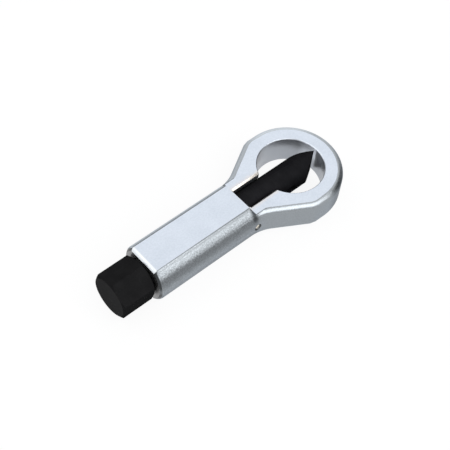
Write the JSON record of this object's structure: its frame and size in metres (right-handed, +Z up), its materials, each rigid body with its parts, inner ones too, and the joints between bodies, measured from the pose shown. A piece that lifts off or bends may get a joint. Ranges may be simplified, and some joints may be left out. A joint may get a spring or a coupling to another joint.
{
  "type": "nut splitter",
  "caption": "Hand tool that splits a seized nut: a hexagon-headed screw in a flat-sided handle drives a round chisel blade across the eye of a ring head.",
  "frame": {"origin": "on the surface that the tool lies on, under the middle of its length and width", "axes": "+X along the screw axis from the hexagon to the eye, +Z up out of the handle's flat"},
  "size_m": [0.115, 0.0434, 0.0197],
  "materials": {
    "plated_steel": "satin plated forging",
    "black_tool_steel": "satin black oxide",
    "pin_steel": "plain ground steel",
    "black_screw_steel": "satin black oxide",
    "ball_steel": "polished bearing steel",
    "spring_steel": "drawn spring wire"
  },
  "bodies": {
    "body": {"body": "plated_steel", "guide_pin": "pin_steel"},
    "blade": {"blade": "black_tool_steel", "thrust_ball": "ball_steel", "snap_ring": "spring_steel"},
    "screw": {"pressure_screw": "black_screw_steel"}
  },
  "joints": [
    {"name": "blade_feed", "type": "slide", "parent": "body", "child": "blade", "axis": [1, 0, 0], "range_m": [-0.024, 0]},
    {"name": "screw_turn", "type": "hinge", "parent": "blade", "child": "screw", "pos_m": [-0.05, 0, 0.00985], "axis": [1, 0, 0], "range_deg": [-5761, 0]}
  ],
  "couplings": [
    {"joint": "screw_turn", "follows": "blade_feed", "rad_per_m": 4188.8}
  ]
}
